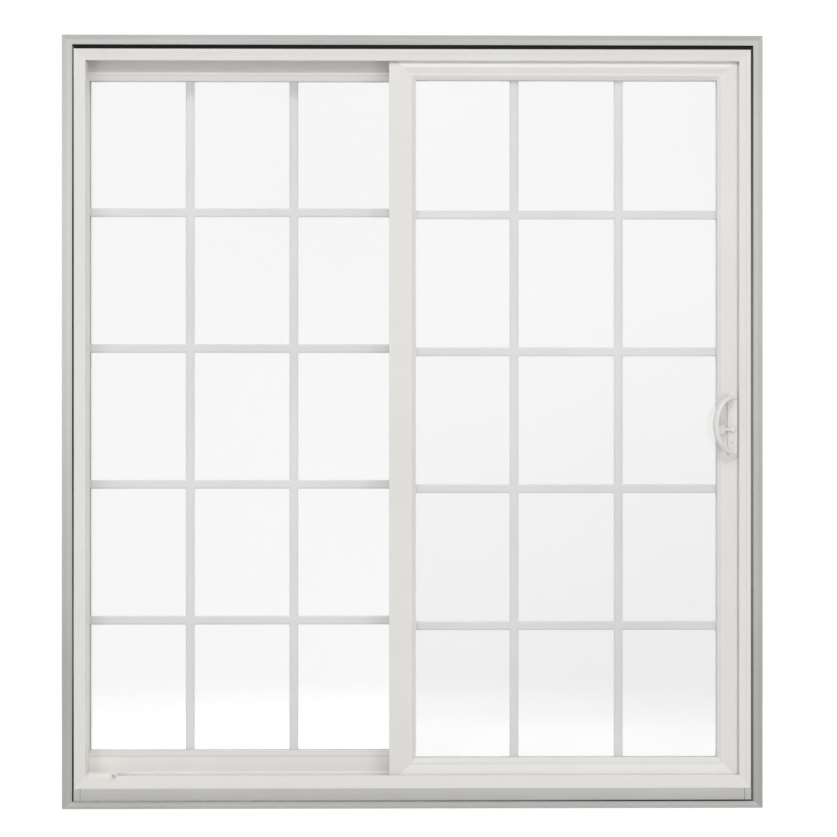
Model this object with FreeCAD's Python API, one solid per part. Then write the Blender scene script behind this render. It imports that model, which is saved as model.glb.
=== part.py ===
import FreeCAD, Part
import math
import os

V = FreeCAD.Vector

# Sliding patio door, millimetres. X runs along the door, Y from the room to the garden, Z is up.
# The origin is the middle of the sill flange's flat back, which bears on the wall.

# Frame
frame_width = 1824.0
frame_height = 2022.5
frame_depth = 116.0
face_proud = 12.0           # room face of the frame, in front of the flange's back
lip_height = 31.5           # face of the head and the jambs
lip_wall = 3.0
frame_wall = 6.0            # floor of a channel in the jambs
channel_roof = 5.0          # wall above the sliding panel's channel
divider_wall = 6.0          # web between the two panels' channels
divider_drop = 54.0         # the web's depth below the top of the head
screen_wall = 4.0
screen_slot = 6.0
screen_slot_depth = 10.0
garden_wall = 4.0           # behind the screen slot
soft_edge = 1.2             # rounding of a moulded edge
face_groove = 0.8           # depth of the line drawn round the face, and half its width
face_groove_from_edge = 12.0

# Sill
nose_height = 31.0
nose_thickness = 6.0
nose_set_back = 4.0         # from the room face to the nose's seat
nose_crown = 2.5
cap_crown = 0.8
cap_length = 17.0
cap_joint = 1.0             # open joint between the nose and an end cap
upstand_height = 66.0
track_floor = 38.0
sill_divider_height = 66.0
fixed_seat = 58.0
garden_lip_height = 62.0
slope_top = 36.0
slope_bottom = 15.0
rail_base_width = 14.0
rail_base_thickness = 2.0
rail_ridge_width = 3.0
rail_ridge_height = 8.0
rail_crown = 1.3            # rounding along the top of the ridge
rail_fillet = 0.6

# Flange and gasket round the frame
side_flange_reach = 33.5
head_flange_reach = 39.0
sill_flange_reach = 25.0
left_gasket_width = 5.5
right_gasket_width = 8.0
head_gasket_width = 12.5
sill_gasket_width = 6.0
flange_edge = 1.6
flange_front = 6.0
flange_bend = 0.5           # share of the strip that its sloping outer facet takes
flange_leg = 2.0
flange_leg_depth = 25.0
ring_overrun = 1.2          # a corner line runs on past the edge, in shares of the strip
gasket_seat = 2.5
gasket_front = 4.6
gasket_dip = 0.8            # of the gasket's face between its edges

# Panels
running_gap = 5.0           # between the frame's lip and the sliding panel
panel_gap = 18.0            # between the two panels
meeting_stile_width = 71.0
lock_stile_width = 61.0
sliding_top_width = 61.5
sliding_bottom_width = 54.0
lock_engagement = 4.0       # of the lock stile behind the jamb's lip
edge_step_show = 5.0        # of the step round the sliding panel, clear of the frame's lip
edge_step_depth = 2.0
panel_lift = 18.0           # underside of the sliding panel above the track floor
lift_room = 13.0            # above the sliding panel, so that it can be lifted off its rail
meeting_edge = -64.0        # left edge of the sliding panel
fixed_head_depth = 20.0     # roof of the fixed panel's channel, below the top of the frame
fixed_stile_width = 25.5
fixed_top_width = 54.5
fixed_bottom_width = 64.0
interlock_width = 57.5

# Glass units
pane_thickness = 3.0
unit_depth = 18.0
glass_bite = 12.0
spacer_width = 8.0
bead_width = 16.0
bead_slope = 10.0
bead_foot = 3.0
stop_bevel = 6.0
stop_lip = 4.0

# Grid between the panes
grid_bar_width = 24.0
grid_bar_depth = 6.0
grid_bar_shoulder = 4.0
grid_bar_edge = 1.2         # thickness of a bar at its bevelled edge
grid_column_pitch = 282.5
grid_row_pitch = 370.6
grid_columns = 3
grid_rows = 5
sliding_grid_drop = 4.0     # the pattern hangs a little below the middle of the glass
fixed_grid_drop = 2.0

# Interlock
hook_wall = 1.5
hook_reach = 18.5
hook_from_edge = 20.0
hook_gap = 5.0
hook_end_gap = 5.0          # between a hook's end and the frame's divider

# Rollers
roller_radius = 14.0
roller_width = 9.0
roller_groove = 4.0
roller_groove_depth = 2.5
axle_radius = 2.5
axle_clearance = 0.1
running_clearance = 0.3
carriage_width = 22.0
carriage_wall = 2.0
carriage_length = 112.0
carriage_height = 30.0
carriage_drop = 5.0         # its walls hang this far below the bottom rail
carriage_from_end = 90.0
wheel_pitch = 64.0

# Panel stop
stop_length = 77.0
stop_gap = 8.0              # from the jamb to the block
stop_top = 69.5
stop_skirt = 12.0           # how far it hangs down the face of the upstand
stop_wall = 1.5
stop_taper = 7.0            # height over which the skirt thins out
stop_round = 2.5
stop_rear_gap = 5.0         # from the block to the rear of the sliding panel
stop_clearance = 0.5

# Lock and handle
handle_centre = 1011.0      # above the foot of the frame
plate_width = 27.0
plate_height = 182.0
plate_thickness = 5.0
plate_edge = 2.0
plate_from_edge = 8.0       # from the panel's edge to the plate
pull_chord = 150.0
pull_sagitta = 65.0
room_pull_lean = 52.0       # degrees the bow leans towards the glass
garden_pull_lean = 8.0
pull_half_width = 8.5
pull_half_thickness = 6.0
pull_sides = 6
pull_sweep = 320.0          # degrees turned before the plate cuts the bow off
pull_foot_radius = 12.0
pull_foot_height = 4.0
latch_drop = -13.0          # the latch's pivot from the middle of the plate
latch_pin_radius = 4.0
latch_pin_clearance = 0.1
latch_hub_radius = 9.0
latch_hub_depth = 6.0
latch_arm_length = 31.0     # from the pivot to the middle of the thumb paddle
latch_arm_height = 10.0
paddle_width = 19.0
paddle_height = 29.0
paddle_depth = 9.0
paddle_round = 8.0
paddle_edge = 2.0
faceplate_height = 160.0
faceplate_width = 20.0
faceplate_thickness = 2.0
lock_case_height = 110.0
lock_case_width = 14.0
lock_case_depth = 36.0
lock_slot_height = 44.0
lock_slot_width = 7.0
lock_slot_depth = 14.0
keeper_height = 120.0
keeper_width = 22.0
keeper_thickness = 3.0
keeper_corner = 4.0

# Drawing aids
cut_margin = 1.0            # a cutting block reaches this far past what it cuts
flat_end = 0.5              # half the flat between two rounded corners
fine = 1e-4

# Places that follow from the sizes
half_width = frame_width / 2
half_opening = half_width - lip_height
frame_foot = (sill_flange_reach + flange_leg) / 2
frame_top = frame_foot + frame_height
opening_top = frame_top - lip_height
front = -face_proud
back = front + frame_depth
screen_track = screen_wall + screen_slot + garden_wall
panel_depth = (frame_depth - lip_wall - running_gap - panel_gap - screen_track) / 2
unit_set_back = (panel_depth - unit_depth) / 2
lip_back = front + lip_wall
slide_front = lip_back + running_gap
slide_back = slide_front + panel_depth
fixed_front = slide_back + panel_gap
fixed_back = fixed_front + panel_depth
slide_middle = slide_front + panel_depth / 2
divider_front = fixed_front - divider_wall
track_top = frame_foot + track_floor + rail_ridge_height
slide_left = meeting_edge
slide_right = half_opening + lock_engagement
slide_foot = frame_foot + track_floor + panel_lift
slide_head = frame_top - channel_roof - lift_room
fixed_left = frame_wall - half_width
fixed_right = meeting_edge + meeting_stile_width
fixed_foot = frame_foot + fixed_seat
fixed_head = frame_top - fixed_head_depth
stop_left = stop_gap - half_opening
hook_foot = frame_foot + sill_divider_height + hook_end_gap
hook_top = frame_top - divider_drop - hook_end_gap
plate_centre = slide_right - plate_from_edge - plate_width / 2
handle_level = frame_foot + handle_centre


def place(plane, a, b, at):
    """A point of a profile: x, y or z names the axis that the profile faces."""
    if plane == "x":
        return V(at, a, b)
    if plane == "y":
        return V(a, at, b)
    return V(a, b, at)


def profile_face(points, plane, at):
    """Closed outline; a point with a third number has its corner rounded by that radius."""
    corners = []
    for index, point in enumerate(points):
        here = V(point[0], point[1], 0)
        before = V(*points[index - 1][:2], 0)
        after = V(*points[(index + 1) % len(points)][:2], 0)
        radius = point[2] if len(point) > 2 else 0
        if not radius:
            corners.append((here, None, here))
            continue
        to_before = (before - here).normalize()
        to_after = (after - here).normalize()
        half_angle = to_before.getAngle(to_after) / 2
        reach = radius / math.tan(half_angle)
        middle = here + (to_before + to_after).normalize() * (radius / math.sin(half_angle) - radius)
        corners.append((here + to_before * reach, middle, here + to_after * reach))
    edges = []
    for index, (start, middle, end) in enumerate(corners):
        following = corners[(index + 1) % len(corners)][0]
        start_3d, end_3d = place(plane, start.x, start.y, at), place(plane, end.x, end.y, at)
        if middle is not None:
            edges.append(Part.Arc(start_3d, place(plane, middle.x, middle.y, at), end_3d).toShape())
        if end.distanceToPoint(following) > 1e-6:
            next_3d = place(plane, following.x, following.y, at)
            edges.append(Part.LineSegment(end_3d, next_3d).toShape())
    return Part.Face(Part.Wire(edges))


def prism(points, plane, start, end):
    travel = place(plane, 0, 0, end - start)
    return profile_face(points, plane, start).extrude(travel)


def block(x, y, z):
    return Part.makeBox(x[1] - x[0], y[1] - y[0], z[1] - z[0], V(x[0], y[0], z[0]))


def fused(solids):
    whole = solids[0].multiFuse(solids[1:]) if len(solids) > 1 else solids[0]
    return whole.removeSplitter()


def kept_inside(solid, outline):
    """What lies within an outline drawn on the face of the door."""
    reach = frame_depth * 2
    return solid.common(prism(outline, "y", -reach, reach))


def save(name, shape):
    shape.exportStep("parts/" + name + ".step")
    print(name, len(shape.Solids), round(shape.Volume / 1000.0, 1), "cm3", shape.isValid())


# Frame members
def head_member():
    top = frame_top
    profile = [
        (front, top, soft_edge),
        (back, top, soft_edge),
        (back, opening_top, soft_edge),
        (fixed_back + screen_wall + screen_slot, opening_top),
        (fixed_back + screen_wall + screen_slot, opening_top + screen_slot_depth),
        (fixed_back + screen_wall, opening_top + screen_slot_depth),
        (fixed_back + screen_wall, top - divider_drop, soft_edge),
        (fixed_back, top - divider_drop, soft_edge),
        (fixed_back, fixed_head),
        (fixed_front, fixed_head),
        (fixed_front, top - divider_drop, soft_edge),
        (divider_front, top - divider_drop, soft_edge),
        (divider_front, top - channel_roof),
        (lip_back, top - channel_roof),
        (lip_back, opening_top, soft_edge),
        (front, opening_top, soft_edge),
        (front, top - face_groove_from_edge - face_groove),
        (front + face_groove, top - face_groove_from_edge),
        (front, top - face_groove_from_edge + face_groove),
    ]
    member = prism(profile, "x", -half_width, half_width)
    outline = [
        (-half_width, top), (half_width, top), (half_opening, opening_top),
        (half_opening, top - divider_drop - lip_height), (-half_opening, top - divider_drop - lip_height),
        (-half_opening, opening_top),
    ]
    return kept_inside(member, outline)


def jamb(side, channel_front, channel_back):
    """One jamb: side is -1 or 1, and the channel takes the panel that stands in it."""
    outer = side * half_width
    inner = side * half_opening
    floor = side * (half_width - frame_wall)
    slot_floor = side * (half_opening + screen_slot_depth)
    slot_front = fixed_back + screen_wall
    groove = side * (half_width - face_groove_from_edge)
    profile = [
        (outer, front, soft_edge),
        (groove + side * face_groove, front),
        (groove, front + face_groove),
        (groove - side * face_groove, front),
        (inner, front, soft_edge),
        (inner, channel_front),
        (floor, channel_front),
        (floor, channel_back),
        (inner, channel_back),
        (inner, slot_front),
        (slot_floor, slot_front),
        (slot_floor, slot_front + screen_slot),
        (inner, slot_front + screen_slot),
        (inner, back, soft_edge),
        (outer, back, soft_edge),
    ]
    foot = frame_foot + nose_height
    member = prism(profile, "z", foot, frame_top)
    outline = [(outer, foot), (outer, frame_top), (inner, opening_top), (inner, frame_foot + upstand_height)]
    return kept_inside(member, outline)


def sill_member():
    foot = frame_foot
    seat = front + nose_set_back
    profile = [
        (seat, foot),
        (back, foot),
        (back, foot + slope_bottom, soft_edge),
        (fixed_back + screen_wall, foot + slope_top),
        (fixed_back + screen_wall, foot + garden_lip_height, soft_edge),
        (fixed_back, foot + garden_lip_height, soft_edge),
        (fixed_back, fixed_foot),
        (fixed_front, fixed_foot),
        (fixed_front, foot + sill_divider_height, soft_edge),
        (divider_front, foot + sill_divider_height, soft_edge),
        (divider_front, foot + track_floor),
        (lip_back, foot + track_floor),
        (lip_back, foot + upstand_height, soft_edge),
        (front, foot + upstand_height, soft_edge),
        (front, foot + nose_height),
        (seat, foot + nose_height),
    ]
    member = prism(profile, "x", -half_width, half_width)
    shoulder = foot + nose_height
    crest = foot + upstand_height + lip_height
    mitre_top = foot + upstand_height
    outline = [
        (-half_width, foot), (half_width, foot), (half_width, shoulder), (half_opening, mitre_top),
        (half_opening, crest), (-half_opening, crest), (-half_opening, mitre_top), (-half_width, shoulder),
    ]
    return kept_inside(member, outline)


def nose_profile(crown):
    seat = front + nose_set_back
    face = seat - nose_thickness
    foot = frame_foot
    middle = foot + nose_height / 2
    top = foot + nose_height
    front_face = Part.Arc(V(0, face, foot), V(0, face - crown, middle), V(0, face, top)).toShape()
    rest = [V(0, face, top), V(0, seat, top), V(0, seat, foot), V(0, face, foot)]
    sides = [Part.LineSegment(a, b).toShape() for a, b in zip(rest, rest[1:])]
    return Part.Face(Part.Wire([front_face] + sides))


def sill_nose():
    length = frame_width - 2 * (cap_length + cap_joint)
    face = nose_profile(nose_crown)
    face.translate(V(-length / 2, 0, 0))
    return face.extrude(V(length, 0, 0))


def sill_end_caps():
    caps = []
    for start in (-half_width, half_width - cap_length):
        face = nose_profile(cap_crown)
        face.translate(V(start, 0, 0))
        caps.append(face.extrude(V(cap_length, 0, 0)))
    return Part.makeCompound(caps)


def roller_rail():
    floor = frame_foot + track_floor
    half_base = rail_base_width / 2
    half_ridge = rail_ridge_width / 2
    top = floor + rail_ridge_height
    profile = [
        (slide_middle - half_base, floor),
        (slide_middle - half_base, floor + rail_base_thickness),
        (slide_middle - half_ridge, floor + rail_base_thickness, rail_fillet),
        (slide_middle - half_ridge, top, rail_crown),
        (slide_middle + half_ridge, top, rail_crown),
        (slide_middle + half_ridge, floor + rail_base_thickness, rail_fillet),
        (slide_middle + half_base, floor + rail_base_thickness),
        (slide_middle + half_base, floor),
    ]
    return prism(profile, "x", -half_opening, half_opening)


def panel_stop():
    """Saddle block over the upstand: it stops the sliding panel before its handle meets the fixed stile."""
    foot = frame_foot
    crest = foot + upstand_height
    floor = foot + track_floor
    top = foot + stop_top
    skirt = crest - stop_skirt
    inner_back = slide_back - stop_rear_gap
    rail_side = rail_base_width / 2 + stop_clearance
    rail_roof = floor + rail_ridge_height + stop_clearance
    profile = [
        (front - stop_wall, skirt + stop_taper),
        (front - stop_wall, top, stop_round),
        (inner_back, top, stop_round),
        (inner_back, floor),
        (slide_middle + rail_side, floor),
        (slide_middle + rail_side, rail_roof),
        (slide_middle - rail_side, rail_roof),
        (slide_middle - rail_side, floor),
        (lip_back, floor),
        (lip_back, crest),
        (front, crest),
        (front, skirt),
    ]
    return prism(profile, "x", stop_left, stop_left + stop_length)


def strike_keeper():
    """Plate with a slot for the lock's hooks, on the floor of the right jamb's channel."""
    face = half_width - frame_wall
    half = keeper_height / 2
    profile = [
        (slide_middle - keeper_width / 2, handle_level - half, keeper_corner),
        (slide_middle + keeper_width / 2, handle_level - half, keeper_corner),
        (slide_middle + keeper_width / 2, handle_level + half, keeper_corner),
        (slide_middle - keeper_width / 2, handle_level + half, keeper_corner),
    ]
    plate = prism(profile, "x", face - keeper_thickness, face)
    half_slot = lock_slot_height / 2
    slot = block((face - keeper_thickness - cut_margin, face + cut_margin),
                 (slide_middle - lock_slot_width / 2, slide_middle + lock_slot_width / 2),
                 (handle_level - half_slot, handle_level + half_slot))
    return plate.cut(slot)


# Flange ring
reaches = {"left": side_flange_reach, "right": side_flange_reach,
           "head": head_flange_reach, "sill": sill_flange_reach}
gaskets = {"left": left_gasket_width, "right": right_gasket_width,
           "head": head_gasket_width, "sill": sill_gasket_width}


def ring_outline(side):
    """The share of the flange ring that one side fills, cut from the frame's corners out to the ring's."""
    def corner(x_side, z_side):
        x_sign = -1 if x_side == "left" else 1
        z_sign = 1 if z_side == "head" else -1
        z_edge = frame_top if z_side == "head" else frame_foot
        x_gap, z_gap = gaskets[x_side], gaskets[z_side]
        outs = [(-cut_margin, -cut_margin), (0, 0), (x_gap, z_gap),
                (x_gap + (reaches[x_side] - x_gap) * ring_overrun, z_gap + (reaches[z_side] - z_gap) * ring_overrun)]
        return [(x_sign * (half_width + x_out), z_edge + z_sign * z_out) for x_out, z_out in outs]
    ends = {"head": [("left", "head"), ("right", "head")], "sill": [("left", "sill"), ("right", "sill")],
            "left": [("left", "sill"), ("left", "head")], "right": [("right", "sill"), ("right", "head")]}
    first, second = ends[side]
    return corner(*first) + corner(*second)[::-1]


def ring_member(side, profile):
    """Profile points are (distance out from the frame, depth)."""
    low, high = frame_foot - sill_flange_reach, frame_top + head_flange_reach
    across = half_width + side_flange_reach
    if side == "head":
        member = prism([(y, frame_top + out) for out, y in profile], "x", -across, across)
    elif side == "sill":
        member = prism([(y, frame_foot - out) for out, y in profile], "x", -across, across)
    elif side == "left":
        member = prism([(-half_width - out, y) for out, y in profile], "z", low, high)
    else:
        member = prism([(half_width + out, y) for out, y in profile], "z", low, high)
    return kept_inside(member, ring_outline(side))


def flange(side):
    reach, gap = reaches[side], gaskets[side]
    bend = reach - (reach - gap) * flange_bend
    profile = [
        (flange_leg, 0), (reach, 0), (reach, -flange_edge), (bend, -flange_front),
        (gap, -flange_front), (gap, -gasket_seat), (0, -gasket_seat),
        (0, flange_leg_depth), (flange_leg, flange_leg_depth),
    ]
    return ring_member(side, profile)


def gasket(side):
    gap = gaskets[side]
    profile = [
        (0, -gasket_seat), (0, -gasket_front), (gap / 2, gasket_dip - gasket_front),
        (gap, -gasket_front), (gap, -gasket_seat),
    ]
    return ring_member(side, profile)


# Panels
def panel_ring(side, daylight, widths, profile):
    """A rail or stile: profile points are (distance out from the glass opening, depth in the door)."""
    left, right, low, high = daylight
    across = (left - widths["left"], right + widths["right"])
    up = (low - widths["bottom"], high + widths["top"])
    if side == "left":
        member = prism([(left - out, *rest) for out, *rest in profile], "z", *up)
    elif side == "right":
        member = prism([(right + out, *rest) for out, *rest in profile], "z", *up)
    elif side == "bottom":
        member = prism([(y, low - out, *rest) for out, y, *rest in profile], "x", *across)
    else:
        member = prism([(y, high + out, *rest) for out, y, *rest in profile], "x", *across)
    return kept_inside(member, mitre_outline(side, daylight, widths))


def mitre_outline(side, daylight, widths):
    """Mitres run at 45 degrees out of the corners of the glass, as far as the narrower piece reaches."""
    left, right, low, high = daylight
    x_edges = {"left": (left, -1), "right": (right, 1)}
    z_edges = {"bottom": (low, -1), "top": (high, 1)}

    def corner(x_side, z_side):
        (x, x_sign), (z, z_sign) = x_edges[x_side], z_edges[z_side]
        x_width, z_width = widths[x_side], widths[z_side]
        mitre = min(x_width, z_width)
        points = [(x, z), (x + x_sign * mitre, z + z_sign * mitre)]
        if x_side == side and x_width > mitre or z_side == side and z_width > mitre:
            points.append((x + x_sign * x_width, z + z_sign * z_width))
        return points
    if side in x_edges:
        return corner(side, "bottom") + corner(side, "top")[::-1]
    return corner("left", side) + corner("right", side)[::-1]


def member_profile(width, face):
    """Rail section: a step for the bead on the room side, the glass pocket, a bevelled stop outside."""
    bead_floor = face + unit_set_back
    pocket_back = bead_floor + unit_depth
    rear = face + panel_depth
    return [
        (width, face, soft_edge), (bead_width, face), (bead_width, bead_floor),
        (glass_bite, bead_floor), (glass_bite, pocket_back), (0, pocket_back),
        (0, rear - stop_lip), (stop_bevel, rear), (width, rear, soft_edge),
    ]


def bead_profile(face):
    glass_face = face + unit_set_back
    return [(bead_width, face), (bead_slope, face, soft_edge), (0, glass_face - bead_foot),
            (0, glass_face), (bead_width, glass_face)]


def glazing_bead(daylight, face):
    widths = dict.fromkeys(("left", "right", "top", "bottom"), bead_width)
    return fused([panel_ring(side, daylight, widths, bead_profile(face)) for side in widths])


def pane(daylight, depth):
    left, right, low, high = daylight
    return block((left - glass_bite, right + glass_bite), (depth, depth + pane_thickness),
                 (low - glass_bite, high + glass_bite))


def spacer(daylight, depth):
    left, right, low, high = daylight
    thickness = unit_depth - 2 * pane_thickness
    inset = glass_bite - spacer_width
    outer = block((left - glass_bite, right + glass_bite), (depth, depth + thickness),
                  (low - glass_bite, high + glass_bite))
    hole = block((left - inset, right + inset), (depth - cut_margin, depth + thickness + cut_margin),
                 (low - inset, high + inset))
    return outer.cut(hole)


def grid(daylight, depth, drop):
    """Flat bars with bevelled edges, crossing in one plane between the panes."""
    left, right, low, high = daylight
    inset = glass_bite - spacer_width
    half = grid_bar_width / 2
    shoulder = half - grid_bar_shoulder
    rise = grid_bar_depth / 2
    edge = grid_bar_edge / 2
    section = [(-half, -edge), (-shoulder, -rise), (shoulder, -rise), (half, -edge),
               (half, edge), (shoulder, rise), (-shoulder, rise), (-half, edge)]
    centre_x, centre_z = (left + right) / 2, (low + high) / 2 - drop
    bars = []
    for index in range(grid_columns - 1):
        x = centre_x + (index - (grid_columns - 2) / 2) * grid_column_pitch
        bars.append(prism([(x + a, depth + b) for a, b in section], "z", low - inset, high + inset))
    for index in range(grid_rows - 1):
        z = centre_z + (index - (grid_rows - 2) / 2) * grid_row_pitch
        bars.append(prism([(depth + b, z + a) for a, b in section], "x", left - inset, right + inset))
    return fused(bars)


def glass_unit(prefix, daylight, face, grid_drop):
    glass_face = face + unit_set_back
    save(prefix + "_room_pane", pane(daylight, glass_face))
    save(prefix + "_garden_pane", pane(daylight, glass_face + unit_depth - pane_thickness))
    save(prefix + "_spacer", spacer(daylight, glass_face + pane_thickness))
    save(prefix + "_grid", grid(daylight, glass_face + unit_depth / 2, grid_drop))
    save(prefix + "_glazing_bead", glazing_bead(daylight, face))


def hook(root_x, root_y, side):
    """Interlock hook: a leg out of the stile, then a tongue along X; side is 1 for the sliding panel."""
    tongue = root_y + side * (panel_gap - hook_gap - hook_wall)
    leg = (root_x - hook_wall / 2, root_x + hook_wall / 2)
    leg_y = sorted((root_y, tongue + side * hook_wall))
    tip = sorted((leg[0] if side > 0 else leg[1], root_x + side * hook_reach))
    tongue_y = sorted((tongue, tongue + side * hook_wall))
    height = (hook_foot, hook_top)
    return fused([block(leg, leg_y, height), block(tip, tongue_y, height)])


def roller_centres():
    low = slide_left + carriage_from_end + carriage_length / 2
    high = slide_right - carriage_from_end - carriage_length / 2
    return (low, high)


def carriage_space(centre, low):
    return block((centre - carriage_length / 2, centre + carriage_length / 2),
                 (slide_middle - carriage_width / 2, slide_middle + carriage_width / 2),
                 (low, slide_foot + carriage_height))


def axle_level():
    return track_top + roller_radius - roller_groove_depth + running_clearance


def roller_carriages():
    """Channel-shaped housings let into the bottom rail, each with two axle holes."""
    carriages = []
    for centre in roller_centres():
        housing = carriage_space(centre, slide_foot - carriage_drop)
        inner = carriage_width / 2 - carriage_wall
        room = block((centre - carriage_length, centre + carriage_length),
                     (slide_middle - inner, slide_middle + inner),
                     (slide_foot - carriage_drop - cut_margin, slide_foot + carriage_height - carriage_wall))
        housing = housing.cut(room)
        for x in (centre - wheel_pitch / 2, centre + wheel_pitch / 2):
            hole = Part.makeCylinder(axle_radius + axle_clearance, carriage_width * 2,
                                     V(x, slide_middle - carriage_width, axle_level()), V(0, 1, 0))
            housing = housing.cut(hole)
        carriages.append(housing)
    return Part.makeCompound(carriages)


def roller_wheels():
    """Grooved wheels with their axles, turned from one section each."""
    half = roller_width / 2
    groove = roller_groove / 2
    axle = carriage_width / 2
    section = [
        (0, -axle), (axle_radius, -axle), (axle_radius, -half), (roller_radius, -half),
        (roller_radius - roller_groove_depth, -groove), (roller_radius - roller_groove_depth, groove),
        (roller_radius, half), (axle_radius, half), (axle_radius, axle), (0, axle),
    ]
    wheels = []
    for centre in roller_centres():
        for x in (centre - wheel_pitch / 2, centre + wheel_pitch / 2):
            wheel = profile_face(section, "z", 0).revolve(V(0, 0, 0), V(0, 1, 0), 360)
            wheel.translate(V(x, slide_middle, axle_level()))
            wheels.append(wheel)
    return Part.makeCompound(wheels)


def lock_case_space():
    deep = slide_right - faceplate_thickness
    return block((deep - lock_case_depth, deep),
                 (slide_middle - lock_case_width / 2, slide_middle + lock_case_width / 2),
                 (handle_level - lock_case_height / 2, handle_level + lock_case_height / 2))


def faceplate_space():
    half = faceplate_height / 2
    corner = faceplate_width / 2 - flat_end
    profile = [(slide_middle - faceplate_width / 2, handle_level - half, corner),
               (slide_middle + faceplate_width / 2, handle_level - half, corner),
               (slide_middle + faceplate_width / 2, handle_level + half, corner),
               (slide_middle - faceplate_width / 2, handle_level + half, corner)]
    return prism(profile, "x", slide_right - faceplate_thickness, slide_right)


def mortise_lock():
    slot = block((slide_right - lock_slot_depth, slide_right + cut_margin),
                 (slide_middle - lock_slot_width / 2, slide_middle + lock_slot_width / 2),
                 (handle_level - lock_slot_height / 2, handle_level + lock_slot_height / 2))
    return fused([lock_case_space(), faceplate_space()]).cut(slot)


def handle_plate(side):
    """Round-ended plate on a face of the lock stile: side is -1 for the room and 1 for the garden."""
    half = plate_width / 2
    low, high = handle_level - plate_height / 2, handle_level + plate_height / 2
    corner = half - flat_end
    profile = [(plate_centre - half, low, corner), (plate_centre + half, low, corner),
               (plate_centre + half, high, corner), (plate_centre - half, high, corner)]
    seat = slide_front if side < 0 else slide_back
    plate = prism(profile, "y", seat, seat + side * plate_thickness)
    face = seat + side * plate_thickness
    rim = [edge for edge in plate.Edges
           if abs(edge.BoundBox.YMin - face) < fine and abs(edge.BoundBox.YMax - face) < fine]
    return plate.makeChamfer(plate_edge, rim)


def pull(side, lean_degrees):
    """Bow pull: an oval section turned round an arc that leans towards the glass, on two round feet."""
    radius = (pull_chord ** 2 / 4 + pull_sagitta ** 2) / (2 * pull_sagitta)
    seat = (slide_front if side < 0 else slide_back) + side * plate_thickness
    lean = math.radians(lean_degrees)
    outward = V(-math.sin(lean), side * math.cos(lean), 0)
    root = V(plate_centre, seat, handle_level)
    centre = root - outward * (radius - pull_sagitta)
    across = V(outward.y, -outward.x, 0)
    middle = centre + outward * radius
    turns = [2 * math.pi * step / pull_sides for step in range(pull_sides)]
    corners = [middle + across * (pull_half_width * math.cos(turn))
               + outward * (pull_half_thickness * math.sin(turn)) for turn in turns]
    face = Part.Face(Part.makePolygon(corners + corners[:1]))
    face.rotate(centre, across, -pull_sweep / 2)
    bow = face.revolve(centre, across, pull_sweep)
    reach = pull_chord * 2
    room = block((plate_centre - reach, plate_centre + reach), sorted((seat, seat + side * reach)),
                 (handle_level - reach, handle_level + reach))
    bow = bow.common(room)
    feet = []
    for level in (handle_level - pull_chord / 2, handle_level + pull_chord / 2):
        foot = Part.makeCone(pull_foot_radius, pull_foot_radius - pull_foot_height / 2, pull_foot_height,
                             V(plate_centre, seat, level), V(0, side, 0))
        feet.append(foot)
    return fused([bow] + feet)


def latch_pivot():
    return V(plate_centre, slide_front - plate_thickness, handle_level + latch_drop)


def thumb_latch():
    """Lever on a pin through the plate, with an upright thumb paddle at its end."""
    pivot = latch_pivot()
    pin = Part.makeCylinder(latch_pin_radius, plate_thickness + latch_hub_depth,
                            pivot + V(0, plate_thickness, 0), V(0, -1, 0))
    front_gap = pivot.y - running_clearance
    hub = Part.makeCylinder(latch_hub_radius, latch_hub_depth, V(pivot.x, front_gap, pivot.z), V(0, -1, 0))
    middle = pivot.x - latch_arm_length
    half_arm = latch_arm_height / 2
    arm = block((middle, pivot.x), (front_gap - latch_hub_depth, front_gap), (pivot.z - half_arm, pivot.z + half_arm))
    half_width_of_paddle, half_height_of_paddle = paddle_width / 2, paddle_height / 2
    outline = [(middle + a * half_width_of_paddle, pivot.z + b * half_height_of_paddle, paddle_round)
               for a, b in ((-1, -1), (1, -1), (1, 1), (-1, 1))]
    paddle = prism(outline, "y", front_gap, front_gap - paddle_depth)
    rim = [edge for edge in paddle.Edges
           if abs(edge.BoundBox.YMin - paddle.BoundBox.YMin) < fine
           and abs(edge.BoundBox.YMax - paddle.BoundBox.YMin) < fine]
    return fused([pin, hub, arm, paddle.makeChamfer(paddle_edge, rim)])


def build_frame():
    save("head_member", head_member())
    save("left_jamb", jamb(-1, fixed_front, fixed_back))
    save("right_jamb", jamb(1, lip_back, divider_front))
    save("sill_member", sill_member())
    save("sill_nose", sill_nose())
    save("sill_end_caps", sill_end_caps())
    save("roller_rail", roller_rail())
    save("panel_stop", panel_stop())
    save("strike_keeper", strike_keeper())
    for side in ("head", "left", "right", "sill"):
        save(side + "_flange", flange(side))
        save(side + "_gasket", gasket(side))


def build_fixed_panel():
    widths = {"left": fixed_stile_width, "right": interlock_width,
              "top": fixed_top_width, "bottom": fixed_bottom_width}
    daylight = (fixed_left + widths["left"], fixed_right - widths["right"],
                fixed_foot + widths["bottom"], fixed_head - widths["top"])
    names = {"left": "fixed_jamb_stile", "right": "fixed_interlock_stile",
             "top": "fixed_top_rail", "bottom": "fixed_bottom_rail"}
    for side, name in names.items():
        piece = panel_ring(side, daylight, widths, member_profile(widths[side], fixed_front))
        if side == "right":
            root = fixed_right - hook_from_edge
            piece = fused([piece, hook(root, fixed_front, -1)])
        save(name, piece)
    glass_unit("fixed", daylight, fixed_front, fixed_grid_drop)


def edge_step():
    """Strips along the top and the lock side of the sliding panel, where its face is stepped back."""
    side_start = slide_right - lock_engagement - edge_step_show
    head_start = opening_top - edge_step_show
    past = panel_depth
    depth = (slide_front - cut_margin, slide_front + edge_step_depth)
    side = block((side_start, slide_right + past), depth, (slide_foot - past, slide_head + past))
    head = block((slide_left - past, slide_right + past), depth, (head_start, slide_head + past))
    return fused([side, head])


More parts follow.
